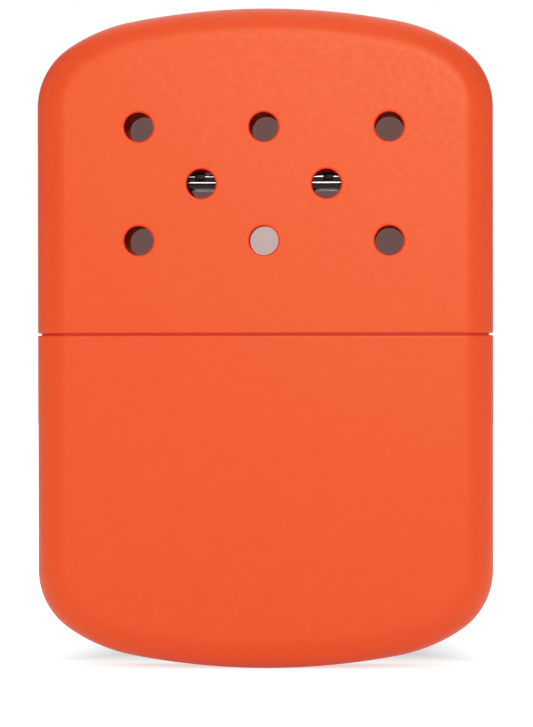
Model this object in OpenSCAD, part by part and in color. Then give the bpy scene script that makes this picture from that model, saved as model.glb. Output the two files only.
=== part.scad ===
// Catalytic hand warmer: a flat drawn-metal case. Its lid pulls up off a fuel tank,
// and the tank's oblong filler neck carries a burner with a catalyst pad.
// Millimetres. +Z is up, the front face looks along -Y, the origin is at the bottom centre.

/* [Case] */
// Overall width
case_w = 67; // [58:0.5:82]
// Overall height
case_h = 97; // [92:0.5:118]
// Overall thickness
case_t = 13; // [12:0.5:18]
// Radius of the rounded edge between the flat faces and the sides
edge_r = 4.4; // [3:0.1:5]
// Radius of the four corners in front view
corner_r = 10.6; // [9:0.1:14]
// Radius of the shoulders between the corners and the shallow end arcs
shoulder_r = 25; // [18:0.5:32]
// Half angle of the shallow arc across each end, in degrees
crown_deg = 11; // [9:0.5:13]
// Angle from upright at which the shoulder turns into the corner, in degrees
shoulder_deg = 34; // [28:1:40]
// Height of the seam between the lower case and the lid
seam_z = 49.1; // [44:0.1:56]
// Width of the seam
seam_gap = 0.3; // [0.2:0.05:0.5]
// Wall of the two painted shells
case_wall = 0.4; // [0.35:0.05:0.7]

/* [Vent holes] */
// Diameter of a vent hole
vent_d = 4.25; // [3:0.05:5]
// Distance between neighbouring holes in a row
vent_pitch = 18.3; // [14:0.1:22]
// Distance between rows
vent_row = 8.3; // [6:0.1:10]
// Distance of the middle row below the burner's rim
vent_drop = 1.35; // [0.5:0.05:3]

/* [Fuel tank] */
// Clearance all round between the tank can and the painted shells
slip_gap = 0.15; // [0.1:0.05:0.25]
// Wall of the tank can
can_wall = 0.3; // [0.25:0.05:0.5]
// Height of the can's collar above the seam
collar_h = 8.4; // [6:0.1:11]
// Depth of the top plate below the collar's edge
plate_drop = 0.4; // [0.2:0.1:1]
// Sheet thickness of the top plate, the neck and its flange
plate_t = 0.4; // [0.3:0.05:0.6]
// Depth of the top plate's turned-down skirt
plate_skirt = 2.2; // [1.5:0.1:4]
// Diameter of the shallow dimples that hold the lid on the collar
dimple_d = 2.4; // [1.5:0.1:4]
// How far a dimple stands out of the collar
dimple_h = 0.08; // [0.03:0.01:0.09]
// Distance of a dimple's centre from the side of the flat face
dimple_in = 7; // [4:0.5:12]

/* [Neck and wick] */
// Height of the neck above the top plate
neck_h = 4.6; // [3.5:0.1:6]
// Width of the neck's flange under the top plate
flange_w = 1.2; // [0.8:0.1:1.5]
// Thickness of the fibre seal between the flange and the top plate
seal_t = 0.3; // [0.2:0.05:0.5]
// Thickness of the wick screen
screen_t = 0.3; // [0.2:0.05:0.5]
// Diameter of a hole in the wick screen
screen_hole_d = 1.3; // [1:0.1:1.5]
// Distance between holes in the wick screen
screen_pitch = 2.1; // [1.9:0.1:2.6]

/* [Wadding] */
// Thickness of the felt pad under the top plate
felt_t = 2.6; // [1.5:0.1:4]
// Thickness of the middle layer of wadding
wad_mid_t = 3.8; // [2.5:0.1:5]
// Gap between the outer layers of wadding and the can's flat faces
wad_gap = 0.5; // [0.3:0.1:1]

/* [Burner] */
// Width of the burner
burner_w = 30; // [25:0.5:36]
// Clearance between the burner and the lid, in front and behind
burner_clear = 1.5; // [1:0.1:1.8]
// Height of the burner
burner_h = 15.25; // [13.5:0.05:17]
// Radius of the burner's corners, seen from above
burner_r = 3.2; // [2.5:0.1:4]
// Sheet thickness of the burner
burner_wall = 0.35; // [0.3:0.05:0.5]
// How far the rolled rim and the bead below it stand out
bead_out = 0.28; // [0.2:0.01:0.32]
// Height of the rolled rim and of the bead
bead_h = 0.5; // [0.4:0.05:0.6]
// Distance between the rolled rim and the bead below it
bead_pitch = 0.9; // [0.8:0.05:1.2]
// Distance from the burner's top to the top of its windows
rail_h = 2.0; // [1.8:0.1:3]
// Width of the plain face between the windows
face_w = 10.4; // [8:0.1:12]
// Distance of a window from the burner's end
end_post = 2.4; // [2:0.1:3.5]
// Height of a window
window_h = 4.8; // [3:0.1:5.2]
// Radius of a window's corners
window_r = 0.8; // [0.4:0.1:1.4]
// Ledge between the neck's socket and the housing, in front and behind
ledge_t = 0.6; // [0.4:0.05:0.9]
// Ledge between the neck's socket and the housing, at the ends
ledge_w = 4.2; // [3:0.1:6]
// Height of the socket that slips over the neck
socket_h = 3.6; // [2.5:0.1:4.5]
// Clearance all round between the socket and the neck
socket_gap = 0.08; // [0.05:0.01:0.1]

/* [Catalyst] */
// Thickness of the perforated plate under the catalyst pad
support_t = 0.3; // [0.2:0.05:0.5]
// Diameter of a hole in the support plate
support_hole_d = 1.6; // [1.2:0.1:1.8]
// Distance between holes in the support plate
support_pitch = 2.5; // [2.3:0.1:3]
// Width of a strap over the pad
strap_w = 1.5; // [1:0.1:2]
// Thickness of a strap
strap_t = 0.25; // [0.2:0.05:0.35]
// Distance of a strap from the middle
strap_x = 9.4; // [8:0.1:11]
// Length of a strap's bent-down legs
strap_leg = 0.8; // [0.6:0.05:0.9]

/* [Fits] */
// Gap where one piece of a body seats in another
seat_gap = 0.05; // [0.03:0.01:0.1]
// Gap round soft pieces
soft_gap = 0.2; // [0.1:0.05:0.3]
// Gap under the burner where it stands on the top plate
rest_gap = 0.1; // [0.05:0.05:0.2]

/* [Hidden] */
$fn = 48;

half_w = case_w / 2;
half_t = case_t / 2;
edge_steps = 7; // flats that make up the rounded edge
cut = 1; // how far a cutter runs past what it cuts

// The arc across each end fills the width that the shoulders and corners leave
crown_r = (half_w - shoulder_r * (sin(shoulder_deg) - sin(crown_deg))
    - corner_r * (1 - sin(shoulder_deg))) / sin(crown_deg);
// Centres of the three arcs on the right, as [x, height under the end's highest point]
crown_c = [0, -crown_r];
shoulder_c = crown_c + (crown_r - shoulder_r) * [sin(crown_deg), cos(crown_deg)];
corner_c = shoulder_c + (shoulder_r - corner_r) * [sin(shoulder_deg), cos(shoulder_deg)];

can_inset = case_wall + slip_gap;
can_in = can_inset + can_wall;
collar_z = seam_z + collar_h;
plate_top = collar_z - plate_drop;
plate_under = plate_top - plate_t;
flange_top = plate_under - seal_t;
flange_under = flange_top - plate_t;
felt_top = flange_under - seat_gap;
wad_top = felt_top - felt_t - seat_gap;
neck_top = plate_top + neck_h;
burner_z = plate_top + rest_gap;
burner_top = burner_z + burner_h;
rail_z = burner_top - rail_h;
burner_t = case_t - 2 * (case_wall + burner_clear);
burner_in_w = burner_w - 2 * burner_wall;
burner_in_t = burner_t - 2 * burner_wall;
burner_in_r = burner_r - burner_wall;
window_w = (burner_w - face_w) / 2 - end_post;
window_x = (face_w + window_w) / 2;
vent_z = burner_top - vent_drop;
// The neck's size follows from the burner that stands on it
neck_w = burner_in_w - 2 * (ledge_w + burner_wall + socket_gap);
neck_t = burner_in_t - 2 * (ledge_t + burner_wall + socket_gap);
neck_in_w = neck_w - 2 * plate_t;
neck_in_t = neck_t - 2 * plate_t;
dimple_x = half_w - edge_r - dimple_in;
support_z = rail_z;
pad_z = support_z + support_t + seat_gap;
strap_z = burner_top + seat_gap;
wad_outer_y = half_t - can_in - wad_gap;
wad_mid_y = wad_mid_t / 2;

paint = [0.93, 0.34, 0.19];
bright = [0.78, 0.78, 0.80];
steel = [0.62, 0.62, 0.64];
dark_steel = [0.25, 0.24, 0.24];
cotton = [0.92, 0.91, 0.87];
felt = [0.72, 0.70, 0.66];
fibre = [0.35, 0.33, 0.32];
seal_red = [0.55, 0.20, 0.15];

function arc_points(centre, r, from, to, steps) =
    [for (k = [0 : steps]) let (a = from + (to - from) * k / steps) centre + r * [sin(a), cos(a)]];

// Right half of an end's outline, drawn in by inset, from its highest point to the side
function end_points(inset) = concat(
    arc_points(crown_c, crown_r - inset, 0, crown_deg, 5),
    arc_points(shoulder_c, shoulder_r - inset, crown_deg + 6, shoulder_deg, 3),
    arc_points(corner_c, corner_r - inset, shoulder_deg + 8, 90, 6)
);

// Whole outline of one end, from its arcs down by length
function end_outline(inset, length) = let (
    right = end_points(inset),
    left = [for (k = [len(right) - 1 : -1 : 1]) [-right[k][0], right[k][1]]],
    side = half_w - inset
) concat(right, [[side, -length], [-side, -length]], left);

// A solid skinned over rings of equally many points, closed by a face at each end
module skin(rings) {
    n = len(rings[0]);
    last = len(rings) - 1;
    sides = [for (r = [0 : last - 1], k = [0 : n - 1])
        [r * n + k, (r + 1) * n + k, (r + 1) * n + (k + 1) % n, r * n + (k + 1) % n]];
    polyhedron(
        points = [for (ring = rings, p = ring) p],
        faces = concat([[for (k = [0 : n - 1]) k]], sides, [[for (k = [n - 1 : -1 : 0]) last * n + k]])
    );
}

// One end of the case as a solid, its highest point at z = 0, drawn in by inset: flat faces
// with a rounded edge between them and the sides
module end_block(inset, length) {
    e = edge_r - inset;
    t = half_t - inset;
    front = [for (k = [0 : edge_steps]) let (a = 90 * k / edge_steps)
        [-(t - e) - e * cos(a), inset + e * (1 - sin(a))]];
    back = [for (k = [edge_steps : -1 : 0]) [-front[k][0], front[k][1]]];
    skin([for (layer = concat(front, back)) [for (p = end_outline(layer[1], length)) [p[0], layer[0], p[1]]]]);
}

module upper_block(inset, from_z) {
    translate([0, 0, case_h]) end_block(inset, case_h - from_z);
}

module lower_block(inset, to_z) {
    mirror([0, 0, 1]) end_block(inset, to_z);
}

// Rectangle with round corners, about the origin
module round_rect(w, t, r) {
    square([w - 2 * r, t], center = true);
    square([w, t - 2 * r], center = true);
    for (x = [-1, 1], y = [-1, 1]) translate([x * (w / 2 - r), y * (t / 2 - r)]) circle(r);
}

// Oblong with half-round ends, about the origin
module oblong(w, t) {
    square([w - t, t], center = true);
    for (x = [-1, 1]) translate([x * (w - t) / 2, 0]) circle(t / 2);
}

// Cross-section of the inside of the tank's collar, drawn in by gap
module can_section(gap) {
    inset = can_in + gap;
    round_rect(case_w - 2 * inset, case_t - 2 * inset, edge_r - inset);
}

// Round holes on a staggered grid, cut through a plate
module perforation(columns, rows, pitch, d) {
    for (row = [0 : rows - 1]) {
        shift = row % 2 == 0 ? 0 : 1;
        for (column = [0 : columns - 1 - shift])
            translate([(column - (columns - 1 - shift) / 2) * pitch,
                (row - (rows - 1) / 2) * pitch * sin(60)]) circle(d / 2);
    }
}

// The vents: three holes, two between them, three again, through front and back alike
module vents() {
    for (row = [-1 : 1]) {
        count = row == 0 ? 2 : 3;
        for (k = [0 : count - 1])
            translate([(k - (count - 1) / 2) * vent_pitch, 0, vent_z + row * vent_row])
                rotate([90, 0, 0]) cylinder(h = case_t + 2 * cut, d = vent_d, center = true);
    }
}

module lid() {
    lid_z = seam_z + seam_gap / 2;
    color(paint) difference() {
        upper_block(0, lid_z);
        upper_block(case_wall, lid_z - cut);
        vents();
    }
}

module lower_case() {
    rim_z = seam_z - seam_gap / 2;
    color(paint) difference() {
        lower_block(0, rim_z);
        lower_block(case_wall, rim_z + cut);
    }
}

// A shallow cap that stands out of the collar's flat face and is rooted in its wall
module dimple() {
    depth = dimple_h + can_wall / 2;
    ball_r = (pow(dimple_d / 2, 2) + pow(dimple_h, 2)) / (2 * dimple_h);
    intersection() {
        translate([0, ball_r - dimple_h, 0]) sphere(ball_r);
        translate([0, depth / 2 - dimple_h, 0]) cube([dimple_d, depth, dimple_d], center = true);
    }
}

module tank_can() {
    color(bright) {
        difference() {
            lower_block(can_inset, collar_z);
            lower_block(can_in, collar_z + cut);
        }
        for (face = [0, 1], side = [-1, 1])
            mirror([0, face, 0]) translate([side * dimple_x, can_inset - half_t, seam_z + collar_h / 2])
                dimple();
    }
}

module tank_top() {
    color(bright) difference() {
        translate([0, 0, plate_top - plate_skirt]) linear_extrude(plate_skirt) can_section(seat_gap);
        translate([0, 0, plate_top - plate_skirt - cut]) linear_extrude(plate_skirt + cut - plate_t)
            can_section(seat_gap + plate_t);
        translate([0, 0, plate_under - cut]) linear_extrude(plate_t + 2 * cut)
            oblong(neck_w + 2 * seat_gap, neck_t + 2 * seat_gap);
    }
}

module neck_seal() {
    color(seal_red) translate([0, 0, flange_top]) linear_extrude(seal_t) difference() {
        oblong(neck_w + 2 * flange_w, neck_t + 2 * flange_w);
        oblong(neck_w + 2 * seat_gap, neck_t + 2 * seat_gap);
    }
}

module filler_neck() {
    color(bright) difference() {
        union() {
            translate([0, 0, flange_under]) linear_extrude(neck_top - flange_under) oblong(neck_w, neck_t);
            translate([0, 0, flange_under]) linear_extrude(plate_t)
                oblong(neck_w + 2 * flange_w, neck_t + 2 * flange_w);
        }
        translate([0, 0, flange_under - cut]) linear_extrude(neck_top - flange_under + 2 * cut)
            oblong(neck_in_w, neck_in_t);
    }
}

module wick() {
    top = neck_top - screen_t - 2 * seat_gap;
    color(felt) translate([0, 0, wad_top + seat_gap]) linear_extrude(top - wad_top - seat_gap)
        oblong(neck_in_w - 2 * soft_gap, neck_in_t - 2 * soft_gap);
}

module wick_screen() {
    columns = floor((neck_in_w - neck_in_t) / screen_pitch) + 1;
    color(steel) translate([0, 0, neck_top - screen_t - seat_gap]) linear_extrude(screen_t) difference() {
        oblong(neck_in_w - 2 * seat_gap, neck_in_t - 2 * seat_gap);
        perforation(columns, 3, screen_pitch, screen_hole_d);
    }
}

module felt_pad() {
    color(felt) translate([0, 0, felt_top - felt_t]) linear_extrude(felt_t) difference() {
        can_section(plate_t + seat_gap + soft_gap);
        oblong(neck_in_w, neck_in_t);
    }
}

// A flat layer of wadding between two depths, cut to fit the can's rounded edge there
module wad_layer(from_y, to_y) {
    bend = max(0, max(abs(from_y), abs(to_y)) - (half_t - edge_r));
    can_edge = edge_r - can_in;
    narrowing = can_edge - sqrt(can_edge * can_edge - bend * bend);
    inset = can_in + narrowing + soft_gap;
    color(cotton) translate([0, to_y, 0]) rotate([90, 0, 0]) linear_extrude(to_y - from_y)
        mirror([0, 1]) polygon(end_outline(inset, wad_top));
}

module wadding_front() {
    wad_layer(-wad_outer_y, -wad_mid_y);
}

module wadding_middle() {
    wad_layer(soft_gap - wad_mid_y, wad_mid_y - soft_gap);
}

module wadding_back() {
    wad_layer(wad_mid_y, wad_outer_y);
}

// Front half of a wall that follows the burner's outline, grown outwards by grow
module half_wall(height, grow) {
    linear_extrude(height) intersection() {
        difference() {
            round_rect(burner_w + 2 * grow, burner_t + 2 * grow, burner_r + grow);
            round_rect(burner_in_w, burner_in_t, burner_in_r);
        }
        translate([-burner_w, -burner_t]) square([2 * burner_w, burner_t]);
    }
}

// Front half of the burner's housing: a stamped wall with a rolled rim, a bead and two windows
module burner_half() {
    difference() {
        union() {
            translate([0, 0, burner_z]) half_wall(burner_h, 0);
            for (top = [burner_top, burner_top - bead_pitch])
                translate([0, 0, top - bead_h]) half_wall(bead_h, bead_out);
        }
        for (side = [-1, 1]) {
            translate([side * window_x, 0, rail_z - window_h / 2]) rotate([90, 0, 0])
                linear_extrude(burner_t) round_rect(window_w, window_h, window_r);
            translate([side * strap_x - strap_w / 2 - seat_gap, -burner_t, burner_top - strap_leg - seat_gap])
                cube([strap_w + 2 * seat_gap, burner_t / 2, strap_leg + cut]);
        }
    }
}

module burner_front() {
    color(bright) burner_half();
}

module burner_back() {
    color(bright) mirror([0, 1, 0]) burner_half();
}

module burner_socket() {
    hole_w = neck_w + 2 * socket_gap;
    hole_t = neck_t + 2 * socket_gap;
    color(bright) translate([0, 0, burner_z]) difference() {
        union() {
            linear_extrude(burner_wall)
                round_rect(burner_in_w - 2 * seat_gap, burner_in_t - 2 * seat_gap, burner_in_r - seat_gap);
            linear_extrude(socket_h) oblong(hole_w + 2 * burner_wall, hole_t + 2 * burner_wall);
        }
        translate([0, 0, -cut]) linear_extrude(socket_h + 2 * cut) oblong(hole_w, hole_t);
    }
}

module pad_support() {
    columns = floor((burner_in_w - 2 * burner_in_r) / support_pitch) + 1;
    color(steel) translate([0, 0, support_z]) linear_extrude(support_t) difference() {
        round_rect(burner_in_w - 2 * seat_gap, burner_in_t - 2 * seat_gap, burner_in_r - seat_gap);
        perforation(columns, 3, support_pitch, support_hole_d);
    }
}

module catalyst_pad() {
    color(fibre) translate([0, 0, pad_z]) linear_extrude(burner_top - pad_z)
        round_rect(burner_in_w - 2 * soft_gap, burner_in_t - 2 * soft_gap, burner_in_r - soft_gap);
}

module pad_straps() {
    leg_out = burner_t / 2 + bead_out;
    color(dark_steel) for (side = [-1, 1]) translate([side * strap_x - strap_w / 2, 0, 0]) {
        translate([0, -leg_out, strap_z]) cube([strap_w, 2 * leg_out, strap_t]);
        for (face = [0, 1]) mirror([0, face, 0])
            translate([0, -leg_out, burner_top - strap_leg]) cube([strap_w, strap_t, strap_leg + strap_t]);
    }
}

lower_case();
tank_can();
tank_top();
neck_seal();
filler_neck();
wick();
wick_screen();
felt_pad();
wadding_front();
wadding_middle();
wadding_back();
burner_front();
burner_back();
burner_socket();
pad_support();
catalyst_pad();
pad_straps();
lid();
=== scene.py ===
from math import asin, cos, floor, hypot, pi, radians, sin, sqrt

import bmesh
import bpy
from mathutils import Euler, Matrix, Vector, noise
from mathutils.geometry import delaunay_2d_cdt, tessellate_polygon


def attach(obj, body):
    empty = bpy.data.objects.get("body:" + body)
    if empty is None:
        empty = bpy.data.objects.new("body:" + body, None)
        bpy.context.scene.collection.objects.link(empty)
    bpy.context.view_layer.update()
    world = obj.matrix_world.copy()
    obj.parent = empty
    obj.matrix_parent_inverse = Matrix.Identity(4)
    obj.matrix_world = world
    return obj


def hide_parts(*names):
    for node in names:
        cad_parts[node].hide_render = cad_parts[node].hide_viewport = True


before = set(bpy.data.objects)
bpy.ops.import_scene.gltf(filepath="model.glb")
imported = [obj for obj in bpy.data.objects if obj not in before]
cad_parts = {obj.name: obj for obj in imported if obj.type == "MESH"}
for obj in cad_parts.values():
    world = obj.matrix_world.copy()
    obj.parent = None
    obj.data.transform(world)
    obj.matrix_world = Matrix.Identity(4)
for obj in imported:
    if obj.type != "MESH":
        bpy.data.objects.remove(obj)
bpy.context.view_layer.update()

# ----------------------------------------
# The lower case: a shallow cup deep-drawn from thin steel sheet, powder-coated orange all
# over. The fuel tank is pressed into it, and its rim is rounded over where the lid meets
# it. Sizes are in millimetres, heights are measured from the bottom of the closed object.
half_w = 33.5
half_t = 6.5
case_h = 97
edge_r = 4.4
corner_r = 10.6
shoulder_r = 25
crown_turn = radians(11)
shoulder_turn = radians(34)
seam_z = 49.1
seam_gap = 0.3
case_wall = 0.4
flat_margin = 0.15  # keeps the shading of a rounding off the flat face beside it
vent_margin = 0.4   # a wider one round the vents, where the painted shade of the rims sets in
edge_reach = 0.3    # how far the painted shade, a deeper red, reaches from a vent
mouth_fade = 3      # how many times faster it fades from the rim at the seam
round_points = 48   # points round a vent or a dimple

crown_r = (half_w - shoulder_r * (sin(shoulder_turn) - sin(crown_turn))
           - corner_r * (1 - sin(shoulder_turn))) / sin(crown_turn)
shoulder_x = (crown_r - shoulder_r) * sin(crown_turn)
shoulder_d = crown_r - (crown_r - shoulder_r) * cos(crown_turn)
corner_x = shoulder_x + (shoulder_r - corner_r) * sin(shoulder_turn)
corner_d = shoulder_d - (shoulder_r - corner_r) * cos(shoulder_turn)


def half_outline(inset, depth):
    """Right half of an end in front view: (x, distance from the end's highest point)."""
    path = []
    for x, d, r, start, end, steps in (
        (0, crown_r, crown_r, 0, crown_turn, 12),
        (shoulder_x, shoulder_d, shoulder_r, crown_turn, shoulder_turn, 9),
        (corner_x, corner_d, corner_r, shoulder_turn, pi / 2, 14),
    ):
        for k in range(steps):
            turn = start + (end - start) * k / steps
            path.append((x + (r - inset) * sin(turn), d - (r - inset) * cos(turn)))
    rows = 5
    last = depth - flat_margin
    path += [(half_w - inset, corner_d + (last - corner_d) * k / rows) for k in range(rows + 1)]
    path.append((half_w - inset, depth))
    return path


def bands(loops, closed=True):
    """Faces between neighbouring loops of equally many points."""
    faces = []
    for one, two in zip(loops, loops[1:]):
        count = len(one)
        for k in range(count if closed else count - 1):
            faces.append((one[k], one[(k + 1) % count], two[(k + 1) % count], two[k]))
    return faces


def mesh_object(name, points, faces, material, crease=None):
    """A smooth object from points in millimetres, its faces turned outwards."""
    mesh = bpy.data.meshes.new(name)
    mesh.from_pydata([[c / 1000 for c in p] for p in points], [], faces)
    work = bmesh.new()
    work.from_mesh(mesh)
    bmesh.ops.remove_doubles(work, verts=work.verts, dist=1e-7)
    bmesh.ops.recalc_face_normals(work, faces=work.faces)
    work.to_mesh(mesh)
    work.free()
    mesh.shade_smooth()
    if crease:
        mesh.set_sharp_from_angle(angle=radians(crease))
    mesh.materials.append(material)
    piece = bpy.data.objects.new(name, mesh)
    bpy.context.collection.objects.link(piece)
    return piece


def mount(piece, body, slot, *nodes):
    """The piece rides on its body and stands for these CAD nodes, which it hides. Its slot is not used."""
    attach(piece, body)
    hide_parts(*nodes)


def drawn_shell(name, apex, depth, wall, material, way, inset=0, vents=(), dimples=()):
    """A drawn cup with a rounded rim. way is 1 with the closed end up and -1 with it down;
    vents go through both flat faces, and dimples are pressed out of them."""
    points, faces, skins = [], [], []
    fold = wall / 2
    fold_steps, edge_steps, rim_steps, burr_steps, dimple_steps = 8, 12, 6, 3, 8

    def add(x, y, d):
        points.append((x, y, apex - way * d))
        return len(points) - 1

    for skin in (inset, inset + wall):
        t = half_t - skin
        e = edge_r - skin
        front = [(-t, skin + e + flat_margin)]
        for k in range(edge_steps + 1):
            turn = pi / 2 * k / edge_steps
            front.append((-(t - e) - e * cos(turn), skin + e * (1 - sin(turn))))
        layers = []
        for y, layer_inset in front + [(-y, i) for y, i in reversed(front)]:
            half = half_outline(layer_inset, depth - fold)
            path = [(-x, d) for x, d in reversed(half[1:])] + half
            layers.append([add(x, y, d) for x, d in path])
        faces += bands(layers, closed=False)
        faces += [(one[0], one[1], one[-2], one[-1]) for one in (layers[0], layers[-1])]
        skins.append(layers)

    outer, inner = [[one[-1] for one in skin] + [one[0] for one in reversed(skin)] for skin in skins]
    loops = [outer]
    for k in range(1, fold_steps):
        turn = pi * k / fold_steps
        share = (1 - cos(turn)) / 2
        loop = []
        for a, b in zip(outer, inner):
            x = points[a][0] + (points[b][0] - points[a][0]) * share
            y = points[a][1] + (points[b][1] - points[a][1]) * share
            loop.append(add(x, y, depth - fold + fold * sin(turn)))
        loops.append(loop)
    faces += bands(loops + [inner])

    def rings(x, z, side, profile):
        made = []
        for r, sunk in profile:
            around = [2 * pi * k / round_points for k in range(round_points)]
            y = side * (half_t - inset - sunk)
            made.append([add(x + r * cos(a), y, way * (apex - z) + r * sin(a)) for a in around])
        return made

    vent_profile = []
    if vents:
        vent_r, rim_r, burr_r = vents[0][2:]
        vent_profile += [(vent_r + rim_r + vent_margin, 0), (vent_r + rim_r + flat_margin, 0)]
        for k in range(rim_steps + 1):
            turn = pi / 2 * k / rim_steps
            vent_profile.append((vent_r + rim_r * (1 - sin(turn)), rim_r * (1 - cos(turn))))
        for k in range(burr_steps + 1):
            turn = pi / 2 * k / burr_steps
            vent_profile.append((vent_r + burr_r * (1 - cos(turn)), wall - burr_r * (1 - sin(turn))))
        vent_profile.append((vent_r + burr_r + flat_margin, wall))

    for side, pick in ((-1, 0), (1, -1)):
        outside = [skins[0][pick][1:-1]]
        inside = [skins[1][pick][1:-1]]
        for x, z, *_ in vents:
            made = rings(x, z, side, vent_profile)
            faces += bands(made)
            outside.append(made[0])
            inside.append(made[-1])
        for x, z, r, height in dimples:
            profile = [(r + flat_margin, 0)]
            for k in range(dimple_steps):
                share = k / dimple_steps
                profile.append((r * (1 - share), -height * sin(pi / 2 * share) ** 2))
            made = rings(x, z, side, profile)
            faces += bands(made)
            faces.append(tuple(made[-1]))
            outside.append(made[0])
        for edges in (outside, inside):
            flat = sum(edges, [])
            loops = [[Vector(points[k]) for k in loop] for loop in edges]
            faces += [tuple(flat[k] for k in corner) for corner in tessellate_polygon(loops)]
    piece = mesh_object(name, points, faces, material)
    mouth = apex - way * depth
    # the rounding mask: near 1 at the vents' rims and along the mouth at the seam, where the paint gets a
    # painted shade, a deeper red
    rounding = piece.data.attributes.new("rounding", "FLOAT", "POINT")
    for v, item in zip(piece.data.vertices, rounding.data):
        x, _, z = v.co * 1000
        away = [abs(z - mouth) * mouth_fade]
        away += [hypot(x - vent[0], z - vent[1]) - vent[2] for vent in vents]
        item.value = min(1, max(0, 1.2 - min(away) / edge_reach))
    return piece


def node_maker(tree):
    """A maker of nodes in a tree. An input is set to a value, or linked to another node."""
    def node(kind, inputs=None, **settings):
        made = tree.nodes.new(kind)
        for key, value in settings.items():
            setattr(made, key, value)
        for key, value in (inputs or {}).items():
            if isinstance(value, bpy.types.NodeSocket):
                tree.links.new(value, made.inputs[key])
            else:
                made.inputs[key].default_value = value
        return made

    return node


def new_material(name):
    """A material, its shader, and the maker of its further nodes."""
    material = bpy.data.materials.new(name)
    material.use_nodes = True
    return material, material.node_tree.nodes["Principled BSDF"], node_maker(material.node_tree)


def link(output, socket):
    socket.id_data.links.new(output, socket)


def grain(node, scale, detail=2.0, roughness=0.5, stretch=(1, 1, 1)):
    """Noise on the object's own coordinates, in grains per metre, stretched along an axis."""
    place = node("ShaderNodeTexCoord")
    spread = node("ShaderNodeMapping", {"Vector": place.outputs["Object"], "Scale": stretch})
    return node("ShaderNodeTexNoise", {
        "Vector": spread.outputs["Vector"], "Scale": scale, "Detail": detail, "Roughness": roughness,
    }).outputs["Fac"]


def remap(node, value, low, high, start=0.3, end=0.7):
    """Value between start and end, spread over low to high."""
    return node("ShaderNodeMapRange", {
        "Value": value, "From Min": start, "From Max": end, "To Min": low, "To Max": high,
    }).outputs["Result"]


def blend_colour(node, factor, one, two):
    """A colour that runs from one to two with factor. Each is a colour or another node's."""
    ends = [c if isinstance(c, bpy.types.NodeSocket) else (*c, 1) for c in (one, two)]
    return node("ShaderNodeMix", {0: factor, 6: ends[0], 7: ends[1]}, data_type="RGBA").outputs[2]


def dress(shader, node, colour, roughness, relief, strength, depth):
    """Gives a shader its colour and roughness, and a bump from relief, its depth in metres."""
    link(colour, shader.inputs["Base Color"])
    link(roughness, shader.inputs["Roughness"])
    bump = node("ShaderNodeBump", {"Height": relief, "Strength": strength, "Distance": depth})
    link(bump.outputs["Normal"], shader.inputs["Normal"])


orange = (0.850, 0.068, 0.011), (0.868, 0.074, 0.014)
# the last colour is a painted shade: the deeper red of the paint round the vents and at the seam
rim_shade_orange = (0.98, 0.028, 0.007)
sheen_tint = (1.0, 0.78, 0.44, 1)
case_paint, shader, node = new_material("orange powder coat")
cloud = grain(node, 700, detail=3)
peel = grain(node, 1100, roughness=0.45)
coat = blend_colour(node, remap(node, cloud, 0, 1), *orange)
# near the vents' rims and at the seam the paint turns a deeper red and less shiny, a painted shade for these
# hollows
edge = node("ShaderNodeAttribute", attribute_name="rounding").outputs["Fac"]
rim_shaded_coat = blend_colour(node, edge, coat, rim_shade_orange)
dress(shader, node, rim_shaded_coat, remap(node, peel, 0.32, 0.41), peel, strength=0.6, depth=0.00002)
link(remap(node, edge, 0.72, 0.50, start=0, end=1), shader.inputs["Specular IOR Level"])
shader.inputs["Specular Tint"].default_value = sheen_tint

lower_case = drawn_shell("lower_case_shell", 0, seam_z - seam_gap / 2, case_wall, case_paint, way=-1)
mount(lower_case, "tank", "case_paint", "lower_case")

# ----------------------------------------
# The tank can: a second cup drawn from thinner sheet and plated bright, a slip fit in the
# lower case. Its collar stands above the seam, and four shallow dimples pressed out of it
# hold the lid. At the seam itself the plating is coloured a deep paint red, a painted shade
# that makes the gap between lid and case read as a dark red line.
slip_gap = 0.15
can_wall = 0.3
collar_h = 8.4
dimple_d = 2.4
dimple_h = 0.08
dimple_in = 7


def maths(node, operation, *values):
    """The result of one step of arithmetic on numbers or on other nodes' values."""
    return node("ShaderNodeMath", dict(enumerate(values)), operation=operation).outputs[0]


def own_place(node):
    """The shaded point on the object's own axes, in metres, as outputs X, Y and Z."""
    place = node("ShaderNodeTexCoord")
    return node("ShaderNodeSeparateXYZ", {"Vector": place.outputs["Object"]}).outputs


silvers = (0.70, 0.70, 0.72), (0.76, 0.755, 0.75)
seam_shade_red = (0.98, 0.050, 0.012)
bright_metal, shader, node = new_material("bright plated sheet")
streaks = grain(node, 1300, detail=3, stretch=(0.12, 1, 1))
bloom = grain(node, 120)
plating = blend_colour(node, remap(node, bloom, 0, 1), *silvers)
# at the seam the plating gets a deep paint red and no metal, a painted shade for the gap
at_seam = maths(node, "COMPARE", own_place(node)["Z"], seam_z / 1000, 0.00018)
seam_shaded_plating = blend_colour(node, at_seam, plating, seam_shade_red)
dress(shader, node, seam_shaded_plating, remap(node, streaks, 0.14, 0.26), streaks, strength=0.25, depth=0.000006)
link(maths(node, "SUBTRACT", 1.0, at_seam), shader.inputs["Metallic"])

can_inset = case_wall + slip_gap
can_in = can_inset + can_wall
collar_z = seam_z + collar_h
dimple_x = half_w - edge_r - dimple_in
tank_can = drawn_shell(
    "tank_can_shell", 0, collar_z, can_wall, bright_metal, way=-1, inset=can_inset,
    dimples=[(side * dimple_x, seam_z + collar_h / 2, dimple_d / 2, dimple_h) for side in (-1, 1)])
mount(tank_can, "tank", "bright_metal", "tank_can")

# ----------------------------------------
# The tank top: a plate stamped from the same plated sheet, its skirt turned down into the
# collar and soldered there. The filler neck is drawn from sheet too, with a flange that is
# pressed up under the plate and a lip that is rounded over.
plate_drop = 0.4
plate_t = 0.4
plate_skirt = 2.2
neck_h = 4.6
neck_w = 20.04
neck_t = 6.44
flange_w = 1.2
seal_t = 0.3
seat_gap = 0.05

plate_top = collar_z - plate_drop
plate_under = plate_top - plate_t
flange_top = plate_under - seal_t
flange_under = flange_top - plate_t
neck_top = plate_top + neck_h


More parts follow.
